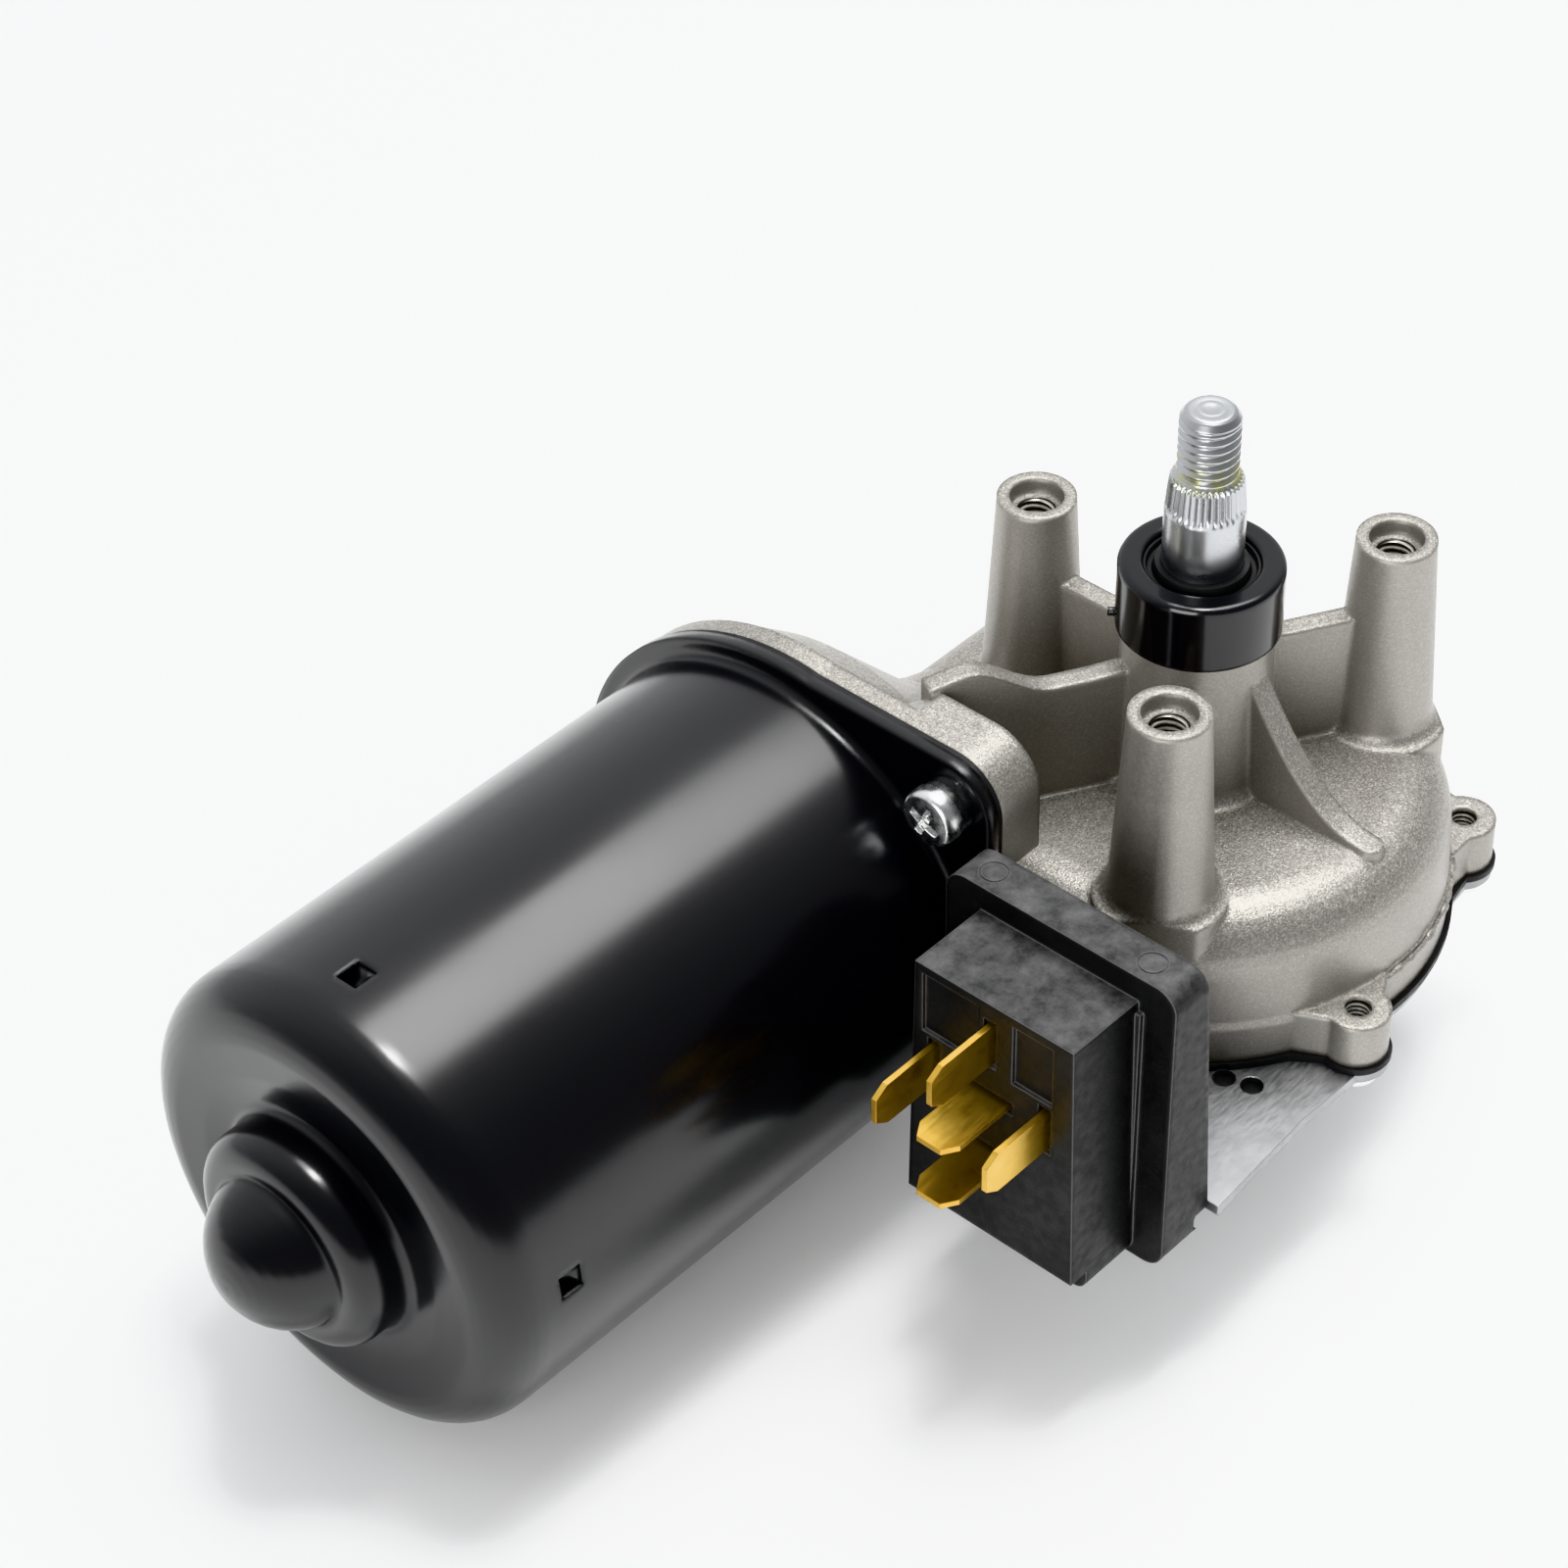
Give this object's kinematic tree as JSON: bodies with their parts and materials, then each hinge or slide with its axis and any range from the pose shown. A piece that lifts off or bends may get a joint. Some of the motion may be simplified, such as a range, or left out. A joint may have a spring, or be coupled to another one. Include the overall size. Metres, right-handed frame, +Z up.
{
  "type": "wiper motor",
  "caption": "Windscreen wiper motor: brushed motor in a drawn can driving a worm wheel and output shaft in a cast gear housing with mounting posts and blade terminals.",
  "frame": {"origin": "output shaft's axis where it crosses the mounting plane, on the tops of the posts", "axes": "+Z up the output shaft towards its threaded end; the motor's can lies towards -X, its axis parallel to X at positive Y"},
  "size_m": [0.1787, 0.1108, 0.1041],
  "materials": {
    "cast": "sand-cast, lightly blasted",
    "black_paint": "gloss black",
    "zinc": "bright zinc plated",
    "steel": "ground",
    "laminate": "dull laminated steel",
    "ferrite": "dull dark grey",
    "carbon": "dull graphite",
    "bronze": "sintered bronze",
    "brass": "drawn, lightly scratched",
    "copper": "copper",
    "rubber": "matt black",
    "black_plastic": "moulded, faintly mottled",
    "nylon": "natural",
    "board": "brown laminate",
    "insulation": "red"
  },
  "bodies": {
    "casing": {"gear_housing": "cast", "shaft_bushes": "bronze", "shaft_washers": "steel", "shaft_seal": "rubber", "seal_cap": "black_paint", "cover_gasket": "rubber", "cover_plate": "zinc", "cover_screws": "zinc", "contact_carrier": "board", "park_contacts": "brass", "connector_body": "black_plastic", "terminal_left": "brass", "terminal_top": "brass", "terminal_centre": "brass", "terminal_right": "brass", "terminal_bottom": "brass", "connector_screws": "zinc", "motor_can": "black_paint", "can_screws": "zinc", "can_spring_washers": "zinc", "flange_gasket": "rubber", "field_magnets": "ferrite", "magnet_clips": "steel", "rear_bush": "bronze", "rear_bush_clip": "steel", "brush_plate": "board", "brush_boxes": "brass", "carbon_brushes": "carbon", "brush_springs": "steel", "suppression_chokes": "copper", "lead_wires": "insulation", "front_bush": "bronze", "tunnel_bush": "bronze", "thrust_screw": "zinc", "thrust_ball": "steel"},
    "output": {"output_shaft": "zinc", "worm_wheel": "nylon", "park_disc": "brass", "shaft_circlip": "steel"},
    "armature": {"armature_shaft": "steel", "armature_core": "laminate", "armature_windings": "copper", "commutator": "copper"}
  },
  "joints": [
    {"name": "armature_spin", "type": "hinge", "parent": "casing", "child": "armature", "pos_m": [0, 0.0345, -0.0425], "axis": [1, 0, 0], "continuous": true},
    {"name": "output_spin", "type": "hinge", "parent": "casing", "child": "output", "pos_m": [0, 0, 0], "axis": [0, 0, 1], "continuous": true}
  ],
  "couplings": [
    {"joint": "output_spin", "follows": "armature_spin", "ratio": 0.021277}
  ]
}
